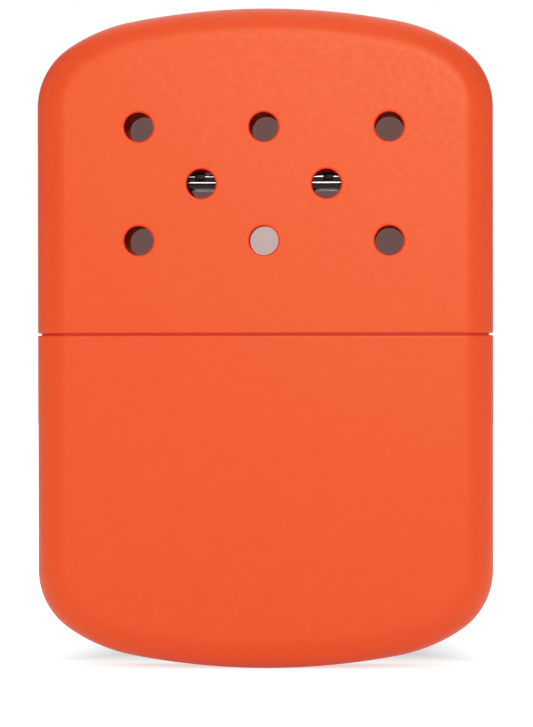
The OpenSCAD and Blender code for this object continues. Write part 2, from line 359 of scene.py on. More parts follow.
def round_loop(w, t, r, z):
    """Rectangle with round corners about the object's middle, seen from above."""
    loop = []
    steps = 12
    for quarter, (sx, sy) in enumerate(((1, 1), (-1, 1), (-1, -1), (1, -1))):
        for k in range(steps + 1):
            turn = pi / 2 * (quarter + k / steps)
            loop.append((sx * (w / 2 - r) + r * cos(turn), sy * (t / 2 - r) + r * sin(turn), z))
    return loop


def bend(centre_out, centre_z, r, start, end, steps=5):
    """Points of an arc in a sheet's section, as (distance out, height), angles in degrees."""
    turns = [radians(start + (end - start) * k / steps) for k in range(steps + 1)]
    return [(centre_out + r * cos(a), centre_z + r * sin(a)) for a in turns]


def loops_round(w, t, r, section):
    """A sheet's section, as (distance out, height), carried round a rounded outline."""
    return [round_loop(w + 2 * out, t + 2 * out, r + out, z) for out, z in section]


def lofted(name, loops, material, crease=None, ring=True):
    """A skin over loops of equally many points. The last is joined to the first, or, without
    ring, both ends are closed."""
    count = len(loops[0])
    rows = [list(range(k * count, (k + 1) * count)) for k in range(len(loops))]
    faces = bands(rows + rows[:1]) if ring else bands(rows) + [tuple(rows[0]), tuple(rows[-1])]
    return mesh_object(name, sum(loops, []), faces, material, crease)


inside_w = 2 * (half_w - can_in - seat_gap)
inside_t = 2 * (half_t - can_in - seat_gap)
inside_r = edge_r - can_in - seat_gap

# the plate is a rounded rectangle outside and an oblong round the neck
fold_r = 0.5
inner_fold = fold_r - plate_t
plate_rim = [(-fold_r - flat_margin, plate_top)] + bend(-fold_r, plate_top - fold_r, fold_r, 90, 0)
plate_rim += [(0, plate_top - plate_skirt), (-plate_t, plate_top - plate_skirt)]
plate_rim += bend(-plate_t - inner_fold, plate_under - inner_fold, inner_fold, 0, 90)
chamfer = 0.1
hole_margin = 0.4
plate_hole = [(hole_margin, plate_under), (seat_gap, plate_under), (seat_gap, plate_top - chamfer)]
plate_hole += [(seat_gap + chamfer, plate_top), (hole_margin, plate_top)]
plate_loops = loops_round(inside_w, inside_t, inside_r, plate_rim)
plate_loops += loops_round(neck_w, neck_t, neck_t / 2, plate_hole)
mount(lofted("tank_top_plate", plate_loops, bright_metal, crease=50), "tank", "bright_metal", "tank_top")

lip = plate_t / 2
neck_fillet = 0.15
neck_bend = 0.5
flange_edge = 0.05
neck_section = [(flange_w - flange_edge, flange_top), (neck_fillet, flange_top)]
neck_section += [(0, flange_top + neck_fillet)]
neck_section += [(0, neck_top - lip - flat_margin)] + bend(-lip, neck_top - lip, lip, 0, 180, 8)
neck_section += [(-plate_t, neck_top - lip - flat_margin), (-plate_t, flange_under + neck_bend)]
neck_section += bend(-plate_t + neck_bend, flange_under + neck_bend, neck_bend, 180, 270)[1:]
neck_section += [(flange_w - flange_edge, flange_under), (flange_w, flange_under + flange_edge)]
neck_section += [(flange_w, flange_top - flange_edge)]
neck_loops = loops_round(neck_w, neck_t, neck_t / 2, neck_section)
mount(lofted("filler_neck_tube", neck_loops, bright_metal, crease=50), "tank", "bright_metal", "filler_neck")

# ----------------------------------------
# The neck seal: a thin oblong gasket of pressed red fibre, squeezed between the neck's
# flange and the plate. It is plain sheet stock, so the CAD piece stays and gets its finish.
reds = (0.23, 0.040, 0.028), (0.36, 0.085, 0.055)
seal_fibre, shader, node = new_material("pressed red fibre")
flecks = grain(node, 2400, detail=4, roughness=0.7)
mottle = blend_colour(node, remap(node, flecks, 0, 1), *reds)
dress(shader, node, mottle, remap(node, flecks, 0.62, 0.85), flecks, strength=0.5, depth=0.00002)
neck_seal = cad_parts["neck_seal"]
neck_seal.data.materials.clear()
neck_seal.data.materials.append(seal_fibre)

# ----------------------------------------
# The wick: a strip of pressed felt, folded up tight in the neck. Its cut top shows through
# the screen, and its foot stands in the wadding and draws the fuel up.
screen_t = 0.3
soft_gap = 0.2
wick_foot = 53.35
wick_top = neck_top - screen_t - 0.3
felt_edge_m = 0.0012  # longest edge in the mesh of a felted or stuffed piece, in metres
felt_lumps = 700      # how fine its unevenness is, in lumps per metre

felt_greys = (0.47, 0.44, 0.39), (0.62, 0.60, 0.55)
wick_felt, shader, node = new_material("pressed felt")
hairs = grain(node, 2600, detail=5, roughness=0.75)
stains = grain(node, 300, detail=3)
greyed = blend_colour(node, remap(node, stains, 0, 1), *felt_greys)
dress(shader, node, greyed, remap(node, hairs, 0.80, 0.98), hairs, strength=0.9, depth=0.00006)
shader.inputs["Sheen Weight"].default_value = 0.4
shader.inputs["Sheen Roughness"].default_value = 0.5


def soft_block(name, loops, material, slot, cad_node, swell, seed):
    """A stuffed or felted piece in the tank: a closed skin, its surface made uneven."""
    piece = lofted(name, loops, material, ring=False)
    work = bmesh.new()
    work.from_mesh(piece.data)
    bmesh.ops.triangulate(work, faces=[f for f in work.faces if len(f.verts) > 4])
    bmesh.ops.subdivide_edges(work, edges=[e for e in work.edges if e.calc_length() > felt_edge_m],
                              cuts=2, use_grid_fill=True)
    bmesh.ops.triangulate(work, faces=work.faces)
    offset = Vector((seed * 3.1, seed * 1.7, 0))
    for v in work.verts:
        v.co += v.normal * (noise.noise(v.co * felt_lumps + offset) - 0.5) * swell / 1000
    work.to_mesh(piece.data)
    work.free()
    piece.data.shade_smooth()
    mount(piece, "tank", slot, cad_node)


wick_w = neck_w - 2 * plate_t - 2 * soft_gap
wick_t = neck_t - 2 * plate_t - 2 * soft_gap
wick_section = [(-0.5, wick_foot), (-0.1, wick_foot + 0.4), (0, wick_foot + 1.5), (0, wick_foot + 3)]
wick_section += [(0, wick_foot + 4.5), (0, wick_top - 1), (-0.08, wick_top - 0.3), (-0.5, wick_top)]
wick_loops = loops_round(wick_w, wick_t, wick_t / 2, wick_section)
soft_block("wick_strip", wick_loops, wick_felt, "wick_felt", "wick", swell=0.12, seed=1)

# ----------------------------------------
# The felt pad: a thick washer of the same felt, laid on the wadding under the tank top,
# with an oblong hole for the wick.
felt_t = 2.6
felt_top = flange_under - seat_gap
felt_low = felt_top - felt_t
felt_play = 0.65
felt_edge = [(-0.3, felt_low), (0, felt_low + 0.5), (0, felt_top - 0.5), (-0.3, felt_top)]
felt_hole = [(0.3, felt_top), (0.02, felt_top - 0.4), (0.02, felt_low + 0.4), (0.3, felt_low)]
felt_loops = loops_round(2 * (half_w - can_in - felt_play), 2 * (half_t - can_in - felt_play),
                         edge_r - can_in - felt_play, felt_edge)
felt_loops += loops_round(neck_w - 2 * plate_t, neck_t - 2 * plate_t, neck_t / 2 - plate_t, felt_hole)
felt_pad = lofted("felt_washer", felt_loops, wick_felt)
mount(felt_pad, "tank", "wick_felt", "felt_pad")

# ----------------------------------------
# The wadding: three layers of loose cotton, cut to the can's shape and laid in it flat.
# They fill the can and hold the fuel, and touch each other and the can only lightly.
wad_mid_t = 3.8
wad_gap = 0.5
wad_steps = 8
wad_round = 1.4
wad_slack = 0.15
wad_top = felt_top - felt_t - seat_gap

creams = (0.74, 0.72, 0.66), (0.86, 0.85, 0.81)
cotton, shader, node = new_material("loose cotton wadding")
fibres = grain(node, 1800, detail=6, roughness=0.8, stretch=(1, 0.4, 1))
clumps = grain(node, 180, detail=3)
creamy = blend_colour(node, remap(node, clumps, 0, 1), *creams)
dress(shader, node, creamy, remap(node, fibres, 0.85, 1.0), fibres, strength=1.0, depth=0.00012)
shader.inputs["Sheen Weight"].default_value = 0.6

outer_y = half_t - can_in - wad_gap
mid_y = wad_mid_t / 2
for seed, (cad_node, from_y, to_y) in enumerate((
        ("wadding_front", -outer_y, -mid_y), ("wadding_middle", soft_gap - mid_y, mid_y - soft_gap),
        ("wadding_back", mid_y, outer_y))):
    bend_y = max(0, max(abs(from_y), abs(to_y)) - (half_t - edge_r))
    can_edge = edge_r - can_in
    cut_in = can_in + can_edge - sqrt(can_edge ** 2 - bend_y ** 2) + soft_gap
    wad_loops = []
    for k in range(wad_steps + 1):
        turn = pi * k / wad_steps
        y = (from_y + to_y) / 2 - (to_y - from_y) / 2 * cos(turn)
        pull = wad_round * (1 - sin(turn)) + wad_slack
        half = half_outline(cut_in + pull, wad_top - 0.1 - pull)
        wad_loops.append([(-x, y, d) for x, d in reversed(half[1:])] + [(x, y, d) for x, d in half])
    layer = "wadding_layer_%d" % (seed + 1)
    soft_block(layer, wad_loops, cotton, "wadding", cad_node, swell=0.25, seed=seed + 5)

# ----------------------------------------
# The wick screen: a strip of stainless sheet punched with three staggered rows of holes,
# pressed into the neck over the wick. Geometry nodes set out the punch and cut the holes.
screen_hole_d = 1.3
screen_pitch = 2.1

steel_greys = (0.42, 0.40, 0.37), (0.56, 0.56, 0.57)
screen_steel, shader, node = new_material("punched stainless sheet")
rolled = grain(node, 1800, detail=4, stretch=(0.15, 1, 1))
tint = grain(node, 350, detail=3)
steel = blend_colour(node, remap(node, tint, 0, 1), *steel_greys)
dress(shader, node, steel, remap(node, rolled, 0.24, 0.42), rolled, strength=0.4, depth=0.000008)
shader.inputs["Metallic"].default_value = 1.0


def new_tree(name, inputs):
    """A geometry tree with these inputs, the maker of its nodes, and its inputs' values."""
    tree = bpy.data.node_groups.new(name, "GeometryNodeTree")
    for title, kind in inputs:
        tree.interface.new_socket(title, in_out="INPUT", socket_type="NodeSocket" + kind)
    tree.interface.new_socket("Result", in_out="OUTPUT", socket_type="NodeSocketGeometry")
    node = node_maker(tree)
    return tree, node, node("NodeGroupInput").outputs


def perforation_tree():
    """Nodes that punch two outer rows of holes and a shorter row between them in a plate."""
    tree, node, given = new_tree("punched_rows", (
        ("Plate", "Geometry"), ("Columns", "Int"), ("Pitch", "Float"), ("Hole radius", "Float"),
        ("Height", "Float"), ("Metal", "Material")))
    pitch = given["Pitch"]
    steps = maths(node, "SUBTRACT", given["Columns"], 1)
    outer = node("GeometryNodeMeshGrid", {
        "Size X": maths(node, "MULTIPLY", steps, pitch), "Vertices X": given["Columns"],
        "Size Y": maths(node, "MULTIPLY", pitch, 2 * sin(pi / 3)), "Vertices Y": 2})
    half_run = maths(node, "MULTIPLY", maths(node, "SUBTRACT", given["Columns"], 2), -0.5)
    start = node("ShaderNodeCombineXYZ", {"X": maths(node, "MULTIPLY", half_run, pitch)})
    step = node("ShaderNodeCombineXYZ", {"X": pitch})
    inner = node("GeometryNodeMeshLine", {
        "Count": steps, "Start Location": start.outputs[0], "Offset": step.outputs[0]}, mode="OFFSET")
    rows = node("GeometryNodeJoinGeometry", {"Geometry": outer.outputs["Mesh"]})
    link(inner.outputs["Mesh"], rows.inputs["Geometry"])
    lift = node("ShaderNodeCombineXYZ", {"Z": given["Height"]})
    raised = node("GeometryNodeTransform", {"Geometry": rows.outputs[0], "Translation": lift.outputs[0]})
    punch = node("GeometryNodeMeshCylinder", {
        "Vertices": 28, "Depth": 0.002, "Radius": given["Hole radius"]})
    placed = node("GeometryNodeInstanceOnPoints", {
        "Points": raised.outputs[0], "Instance": punch.outputs["Mesh"]})
    punches = node("GeometryNodeRealizeInstances", {"Geometry": placed.outputs[0]})
    cut = node("GeometryNodeMeshBoolean", {
        "Mesh 1": given["Plate"], "Mesh 2": punches.outputs[0]}, operation="DIFFERENCE")
    done = node("GeometryNodeSetMaterial", {"Geometry": cut.outputs[0], "Material": given["Metal"]})
    node("NodeGroupOutput", {"Result": done.outputs[0]})
    return tree


punched_rows = perforation_tree()


def grown(piece, tree, values):
    """Runs a node tree on the piece and keeps the result as its plain mesh."""
    run = piece.modifiers.new(tree.name, "NODES")
    run.node_group = tree
    for item in tree.interface.items_tree:
        if item.item_type == "SOCKET" and item.in_out == "INPUT" and item.name in values:
            run[item.identifier] = values[item.name]
    bpy.context.view_layer.update()
    seen = piece.evaluated_get(bpy.context.evaluated_depsgraph_get())
    mesh = bpy.data.meshes.new_from_object(seen)
    mesh.name = piece.name
    piece.modifiers.clear()
    piece.data = mesh


def punched_plate(name, w, t, r, top, thick, columns, pitch, hole_d):
    """A flat plate with a rounded outline and slightly broken edges, its rows punched out."""
    broken = 0.04
    edge = [(-broken, top - thick), (0, top - thick + broken), (0, top - broken), (-broken, top)]
    plate = lofted(name, loops_round(w, t, r, edge), screen_steel, ring=False)
    grown(plate, punched_rows, {
        "Columns": columns, "Pitch": pitch / 1000, "Hole radius": hole_d / 2000,
        "Height": (top - thick / 2) / 1000, "Metal": screen_steel})
    plate.data.shade_smooth()
    plate.data.set_sharp_from_angle(angle=radians(40))
    return plate


screen_w = neck_w - 2 * plate_t - 2 * seat_gap
screen_d = neck_t - 2 * plate_t - 2 * seat_gap
screen_columns = floor((neck_w - neck_t) / screen_pitch) + 1
wick_screen = punched_plate("wick_screen_strip", screen_w, screen_d, screen_d / 2, neck_top - seat_gap,
                            screen_t, screen_columns, screen_pitch, screen_hole_d)
mount(wick_screen, "tank", "screen_steel", "wick_screen")

# ----------------------------------------
# The burner housing: two halves stamped from plated sheet and joined at the ends. Each has
# two windows that let air in, a bead, and a rim rolled over outwards. The sheet turns straw
# and then dark brown towards the rim, and the crests of the bead and the rim are coloured
# bright, a painted highlight.
burner_w = 30
burner_t = 9.2
burner_r = 3.2
burner_wall = 0.35
burner_z = plate_top + 0.1
burner_top = burner_z + 15.25
bead_out = 0.28
bead_h = 0.5
bead_pitch = 0.9
rail_h = 2.0
window_w = 7.4
window_h = 4.8
window_x = 8.9
window_r = 0.8
window_roll = 0.08
foot_fold = 0.1
panel_drop = 1.6
corner_steps, panel_steps, bead_steps, rim_steps = 12, 16, 16, 24

warm_silvers = (0.66, 0.50, 0.47), (0.73, 0.57, 0.54)
straw_brown = (0.30, 0.17, 0.11)
dark_brown = (0.050, 0.028, 0.026)
crest_highlight_grey = (0.86, 0.84, 0.83)
straw_from, straw_to, dark_from, dark_to = 0.0665, 0.0685, 0.0680, 0.0702
burner_metal, shader, node = new_material("burner plate, browned by heat at its top")
lines = grain(node, 1600, detail=4, stretch=(0.06, 1, 1))
warmth = grain(node, 160)
sheet = blend_colour(node, remap(node, warmth, 0, 1), *warm_silvers)
level = maths(node, "ADD", own_place(node)["Z"], maths(node, "MULTIPLY", warmth, 0.003))
straw = blend_colour(node, remap(node, level, 0, 1, start=straw_from, end=straw_to), sheet, straw_brown)
browned = blend_colour(node, remap(node, level, 0, 1, start=dark_from, end=dark_to), straw, dark_brown)
# the crests of the bead and the rim are coloured near white, a painted highlight
crest_highlight_mask = node("ShaderNodeAttribute", attribute_name="crest").outputs["Fac"]
crest_highlighted = blend_colour(node, crest_highlight_mask, browned, crest_highlight_grey)
dress(shader, node, crest_highlighted, remap(node, lines, 0.05, 0.09), lines, strength=0.3, depth=0.000006)
shader.inputs["Metallic"].default_value = 1.0

corner_start = burner_w / 2 - burner_r
corner_length = burner_r * pi / 2
half_length = corner_start + corner_length + burner_t / 2 - burner_r


def on_burner(along, out, z, side):
    """Place on a half's wall: along is measured round it from its middle, out from its face."""
    way = 1 if along >= 0 else -1
    run = abs(along)
    if run <= corner_start:
        return (along, side * (burner_t / 2 + out), z)
    if run <= corner_start + corner_length:
        turn = (run - corner_start) / burner_r
        return (way * (corner_start + (burner_r + out) * sin(turn)),
                side * (burner_t / 2 - burner_r + (burner_r + out) * cos(turn)), z)
    left = half_length - run
    return (way * (burner_w / 2 + out), side * left, z)


def inside(spot, rim):
    """Whether a spot lies inside a closed outline."""
    crossings = 0
    for one, two in zip(rim, rim[1:] + rim[:1]):
        if (one[1] > spot.y) != (two[1] > spot.y):
            crossings += spot.x < one[0] + (two[0] - one[0]) * (spot.y - one[1]) / (two[1] - one[1])
    return crossings % 2 == 1


def burner_half(name, side):
    """One half of the housing, with its two windows, its bead and its rolled rim."""
    points, faces, known = [], [], {}

    def add(along, out, z):
        key = (round(along, 4), round(out, 4), round(z, 4))
        if key not in known:
            known[key] = len(points)
            points.append(on_burner(along, out, z, side))
        return known[key]

    turns = [corner_start + corner_length * k / corner_steps for k in range(corner_steps + 1)]
    columns = [-half_length] + [-c for c in reversed(turns)] + turns + [half_length]
    panel_low = burner_z + foot_fold
    panel_high = burner_top - panel_drop
    rows = [panel_low + (panel_high - panel_low) * k / panel_steps for k in range(panel_steps + 1)]
    window_z = burner_top - rail_h - window_h / 2
    face_x = corner_start - flat_margin
    windows, margins = [], []
    for way in (-1, 1):
        for outlines, grow in ((windows, window_roll), (margins, window_roll + flat_margin)):
            rim = round_loop(window_w + 2 * grow, window_h + 2 * grow, window_r + grow, 0)
            outlines.append([(way * window_x + p[0], window_z + p[1]) for p in rim])
        margins[-1].insert(len(rim) * 3 // 4, (way * face_x, window_z - window_h / 2 - grow))
        margins[-1].insert(len(rim) // 4, (way * face_x, window_z + window_h / 2 + grow))

    def near_window(x, z, room):
        return (abs(abs(x) - window_x) < window_w / 2 + room
                and abs(z - window_z) < window_h / 2 + room)

    flat = [(c, panel_low) for c in columns] + [(half_length, z) for z in rows[1:-1]]
    flat += [(c, panel_high) for c in reversed(columns)]
    flat += [(-half_length, z) for z in reversed(rows[1:-1])]
    border = len(flat)
    edges = [(k, (k + 1) % border) for k in range(border)]
    for rim in windows + margins:
        first = len(flat)
        flat += rim
        edges += [(first + k, first + (k + 1) % len(rim)) for k in range(len(rim))]
    edges.append((len(flat), len(flat) + 1))
    flat += [(c, panel_low + flat_margin) for c in [-face_x, face_x] + columns[1:-1]]
    flat += [(c, z) for c in columns[1:-1] + [-face_x, face_x] for z in rows[1:-1]
             if not near_window(c, z, 0.35)]
    spots, _, cells, *_ = delaunay_2d_cdt([Vector(p) for p in flat], edges, [], 0, 1e-6)
    for out in (0, -burner_wall):
        for cell in cells:
            middle = sum((spots[k] for k in cell), Vector((0, 0))) / len(cell)
            if not any(inside(middle, rim) for rim in windows):
                faces.append([add(spots[k].x, out, spots[k].y) for k in cell])

    # rolled edges of the windows, from the face in to the back of the sheet
    roll = [(window_roll * a, window_roll * b) for a, b in ((1, 0), (0.5, 0.15), (0.15, 0.5), (0, 1))]
    roll += [(grow, burner_wall - sunk) for grow, sunk in reversed(roll)]
    for x in (-window_x, window_x):
        rings = []
        for grow, sunk in roll:
            rim = round_loop(window_w + 2 * grow, window_h + 2 * grow, window_r + grow, 0)
            rings.append([add(x + p[0], -sunk, window_z + p[1]) for p in rim])
        faces.extend(f for f in bands(rings) if len(set(f)) > 2)

    # bead, rolled rim and folded foot, carried along the half's columns
    bead_z = burner_top - bead_pitch - bead_h / 2
    rim_z = burner_top - bead_h / 2
    rim_half = (bead_out + burner_wall) / 2
    rim_out = bead_out - rim_half
    section = [(0, panel_high)]
    for k in range(bead_steps + 1):
        turn = -pi / 2 + pi * k / bead_steps
        section.append((bead_out * cos(turn), bead_z + bead_h / 2 * sin(turn)))
    first = -pi / 2 + asin(-rim_out / rim_half)
    for k in range(rim_steps + 1):
        turn = first + (pi - first) * k / rim_steps
        section.append((rim_out + rim_half * cos(turn), rim_z + bead_h / 2 * sin(turn)))
    section.append((-burner_wall, panel_high))
    foot = [(-burner_wall, panel_low), (-burner_wall * 0.8, panel_low - 0.7 * foot_fold),
            (-burner_wall / 2, burner_z), (-burner_wall * 0.2, panel_low - 0.7 * foot_fold), (0, panel_low)]
    for line in (section, foot):
        strips = [[add(c, out, z) for out, z in line] for c in columns]
        faces.extend(bands(strips, closed=False))

    # closed ends, where the two halves meet
    for c in (-half_length, half_length):
        end = [(0, z) for z in rows[:-1]] + section
        end += [(-burner_wall, z) for z in reversed(rows[:-1])] + foot[1:-1]
        faces.append([add(c, out, z) for out, z in end])
    piece = mesh_object(name, points, faces, burner_metal, crease=38)
    crest = piece.data.attributes.new("crest", "FLOAT", "POINT")
    for v, item in zip(piece.data.vertices, crest.data):
        stand = hypot(max(abs(v.co.x) * 1000 - corner_start, 0),
                      max(abs(v.co.y) * 1000 - burner_t / 2 + burner_r, 0)) - burner_r
        item.value = min(1, max(0, (stand - bead_out + 0.045) / 0.035))
    return piece


for name, side in (("burner_front", -1), ("burner_back", 1)):
    mount(burner_half(name + "_wall", side), "burner", "burner_metal", name)

# ----------------------------------------
# The burner's foot: a stamped plate that closes the housing below, with a drawn socket
# that slips over the filler neck.
socket_h = 3.6
socket_gap = 0.08
foot_w = burner_w - 2 * burner_wall - 2 * seat_gap
foot_d = burner_t - 2 * burner_wall - 2 * seat_gap
foot_r = burner_r - burner_wall - seat_gap
foot_edge = [(-0.1, burner_z), (0, burner_z + 0.08), (0, burner_z + burner_wall - 0.08)]
foot_edge += [(-0.08, burner_z + burner_wall)]
tube = [(burner_wall + 0.2, burner_wall), (burner_wall + 0.06, burner_wall + 0.06)]
tube += [(burner_wall, burner_wall + 0.2), (burner_wall, socket_h - 0.1), (burner_wall - 0.1, socket_h)]
tube += [(0.1, socket_h), (0, socket_h - 0.1), (0, 0.3), (0.1, 0.1), (0.3, 0)]
hole_w = neck_w + 2 * socket_gap
hole_d = neck_t + 2 * socket_gap
foot_loops = loops_round(foot_w, foot_d, foot_r, foot_edge)
foot_loops += loops_round(hole_w, hole_d, hole_d / 2, [(out, burner_z + z) for out, z in tube])
burner_socket = lofted("burner_foot", foot_loops, burner_metal, crease=50)
mount(burner_socket, "burner", "burner_metal", "burner_socket")

# ----------------------------------------
# The pad support: a strip of punched stainless sheet across the housing just above its
# windows. The catalyst pad lies on it.
support_t = 0.3
support_z = burner_top - rail_h
support_pitch = 2.5
support_hole_d = 1.6
inner_r = burner_r - burner_wall
support_columns = floor((burner_w - 2 * burner_wall - 2 * inner_r) / support_pitch) + 1
pad_support = punched_plate("pad_support_strip", foot_w, foot_d, foot_r, support_z + support_t, support_t,
                            support_columns, support_pitch, support_hole_d)
mount(pad_support, "burner", "screen_steel", "pad_support")

# ----------------------------------------
# The catalyst pad: a mat of fine glass fibre coated with platinum, dark grey, held in the
# burner's mouth. It swells up between its straps, and loose fibres stand out of it.
strap_x = 9.4
pad_low = support_z + support_t + 0.08
pad_w = burner_w - 2 * burner_wall - 0.4
pad_d = burner_t - 2 * burner_wall - 0.4
pad_r = burner_r - burner_wall - 0.2
pad_crown = 0.25
pad_sunk = 0.35
fibre_seed = 11

fibre_greys = (0.035, 0.030, 0.028), (0.11, 0.10, 0.095)
catalyst_fibre, shader, node = new_material("coated glass fibre")
threads = grain(node, 3000, detail=6, roughness=0.8, stretch=(0.5, 1, 1))
patches = grain(node, 500, detail=4)
coated = blend_colour(node, remap(node, patches, 0, 1), *fibre_greys)
dress(shader, node, coated, remap(node, threads, 0.75, 0.95), threads, strength=0.9, depth=0.00008)
shader.inputs["Sheen Weight"].default_value = 0.25


def pad_height(x, y):
    """Height of the mat's top: crowned between the straps and drawn in at its edge."""
    press = max(2.718 ** (-((x - way * strap_x) / 1.1) ** 2) for way in (-1, 1))
    crown = max(0, 1 - (2 * y / pad_d) ** 4) * max(0, 1 - (2 * x / pad_w) ** 10)
    tuft = 0.05 * noise.noise(Vector((x * 1.3, y * 1.3, 4)))
    rise = (pad_sunk + pad_crown) * crown * (1 - 0.45 * press)
    return burner_top - pad_sunk + rise + tuft * (1 - press)


pad_edge = [(-0.3, pad_low), (0, pad_low + 0.3), (0, burner_top - 0.75)]
pad_loops = loops_round(pad_w, pad_d, pad_r, pad_edge)
for inset in [0.15 * k for k in range(1, 26)]:
    loop = round_loop(pad_w - 2 * inset, pad_d - 2 * inset, max(pad_r - inset, 0.02), 0)
    drawn_in = 0.4 * max(0, 1 - inset / 0.45) ** 2
    pad_loops.append([(x, y, pad_height(x, y) - drawn_in) for x, y, _ in loop])
catalyst_pad = lofted("catalyst_mat", pad_loops, catalyst_fibre, ring=False)
work = bmesh.new()
work.from_mesh(catalyst_pad.data)
bmesh.ops.subdivide_edges(work, edges=[e for e in work.edges if e.calc_length() > 0.0008], cuts=6,
                          use_grid_fill=True)
bmesh.ops.triangulate(work, faces=work.faces)
for v in work.verts:
    if v.co.z > (burner_top - 0.3) / 1000:
        v.co.z = pad_height(v.co.x * 1000, v.co.y * 1000) / 1000
work.to_mesh(catalyst_pad.data)
work.free()
catalyst_pad.data.shade_smooth()


def loose_fibre_tree():
    """Nodes that set short bent fibres on the upward faces of a mat."""
    tree, node, given = new_tree("loose_fibres", (
        ("Mat", "Geometry"), ("Density", "Float"), ("Length", "Float"), ("Thickness", "Float"),
        ("Seed", "Int"), ("Fibre", "Material")))
    upward = node("ShaderNodeSeparateXYZ", {"Vector": node("GeometryNodeInputNormal").outputs[0]})
    spread = node("GeometryNodeDistributePointsOnFaces", {
        "Mesh": given["Mat"], "Selection": maths(node, "GREATER_THAN", upward.outputs["Z"], 0.7),
        "Density": given["Density"], "Seed": given["Seed"]})
    strand = node("GeometryNodeCurveQuadraticBezier", {
        "Resolution": 5, "Start": (-0.5, 0, -0.04), "Middle": (0.05, 0.12, 0.14),
        "End": (0.5, 0, -0.04)})
    scale = node("ShaderNodeCombineXYZ", {axis: given["Length"] for axis in "XYZ"})
    sized = node("GeometryNodeTransform", {"Geometry": strand.outputs["Curve"], "Scale": scale.outputs[0]})
    round_wire = node("GeometryNodeCurvePrimitiveCircle", {"Resolution": 3, "Radius": given["Thickness"]})
    wire = node("GeometryNodeCurveToMesh", {
        "Curve": sized.outputs[0], "Profile Curve": round_wire.outputs["Curve"], "Fill Caps": True})
    turn = node("FunctionNodeRandomValue", {
        "Min": (-0.25, -0.2, 0), "Max": (0.25, 0.2, 2 * pi), "Seed": given["Seed"]},
        data_type="FLOAT_VECTOR")
    size = node("FunctionNodeRandomValue", {2: 0.45, 3: 1.0, "Seed": given["Seed"]}, data_type="FLOAT")
    placed = node("GeometryNodeInstanceOnPoints", {
        "Points": spread.outputs["Points"], "Instance": wire.outputs["Mesh"],
        "Rotation": turn.outputs[0], "Scale": size.outputs[1]})
    both = node("GeometryNodeJoinGeometry", {"Geometry": given["Mat"]})
    link(placed.outputs[0], both.inputs["Geometry"])
    real = node("GeometryNodeRealizeInstances", {"Geometry": both.outputs[0]})
    done = node("GeometryNodeSetMaterial", {"Geometry": real.outputs[0], "Material": given["Fibre"]})
    node("NodeGroupOutput", {"Result": done.outputs[0]})
    return tree


grown(catalyst_pad, loose_fibre_tree(), {
    "Density": 5.5e6, "Length": 0.0011, "Thickness": 0.000018, "Seed": fibre_seed, "Fibre": catalyst_fibre})
catalyst_pad.data.shade_smooth()
mount(catalyst_pad, "burner", "catalyst_fibre", "catalyst_pad")

# ----------------------------------------
# The pad straps: two narrow strips of spring steel over the pad, bent down at both ends
# and clipped under the rolled rim. The heat has blued them nearly black.
strap_w = 1.5
strap_t = 0.22
strap_top = burner_top + 0.30
strap_foot = burner_top - 0.72

blued_tones = (0.018, 0.015, 0.015), (0.050, 0.038, 0.034)
strap_steel, shader, node = new_material("heat-darkened spring steel")
scale_marks = grain(node, 900, detail=4, roughness=0.65)
blued = blend_colour(node, remap(node, scale_marks, 0, 1), *blued_tones)
dress(shader, node, blued, remap(node, scale_marks, 0.32, 0.55), scale_marks, strength=0.4, depth=0.00001)
shader.inputs["Metallic"].default_value = 1.0

reach = burner_t / 2 + bead_out + 0.06
middle_line = [(-reach + 0.26, strap_foot), (-reach - 0.02, strap_foot + 0.14)]
middle_line += [(-reach - 0.08, strap_foot + 0.34)]
for angle in (0, 22, 45, 68, 90):
    a = radians(angle)
    middle_line.append((-reach + 0.28 - 0.36 * cos(a), strap_top - strap_t - 0.25 + 0.36 * sin(a)))
for y, sag in ((-2.6, 0.10), (-1.2, 0.02), (0, 0)):
    middle_line.append((y, strap_top - strap_t / 2 - sag))
middle_line += [(-y, z) for y, z in reversed(middle_line[:-1])]
strap_points, strap_faces = [], []
for way in (-1, 1):
    loops = []
    for k, (y, z) in enumerate(middle_line):
        before = Vector(middle_line[max(k - 1, 0)])
        after = Vector(middle_line[min(k + 1, len(middle_line) - 1)])
        along = (after - before).normalized()
        normal = Vector((-along.y, along.x))
        loop = []
        for x, n, _ in round_loop(strap_w, strap_t, 0.07, 0)[::4]:
            loop.append(len(strap_points))
            strap_points.append((way * strap_x + x, y + normal.x * n, z + normal.y * n))
        loops.append(loop)
    strap_faces += bands(loops) + [tuple(loops[0]), tuple(loops[-1])]
pad_straps = mesh_object("pad_strap_strips", strap_points, strap_faces, strap_steel, crease=50)
mount(pad_straps, "burner", "strap_steel", "pad_straps")

# ----------------------------------------
# The lid: a cup drawn and painted like the lower case, punched with eight round vents in
# its front and in its back. Paint runs over the vents' edges and softens them.
vent_d = 4.25
vent_pitch = 18.3
vent_row = 8.3
vent_z = burner_top - 1.35
vent_rim = 0.27
vent_burr = 0.1
vents = []
for row, count in ((-1, 3), (0, 2), (1, 3)):
    for k in range(count):
        vent_x = (k - (count - 1) / 2) * vent_pitch
        vents.append((vent_x, vent_z + row * vent_row, vent_d / 2, vent_rim, vent_burr))
lid_h = case_h - seam_z - seam_gap / 2
lid = drawn_shell("lid_shell", case_h, lid_h, case_wall, case_paint, way=1, vents=vents)
mount(lid, "lid", "case_paint", "lid")
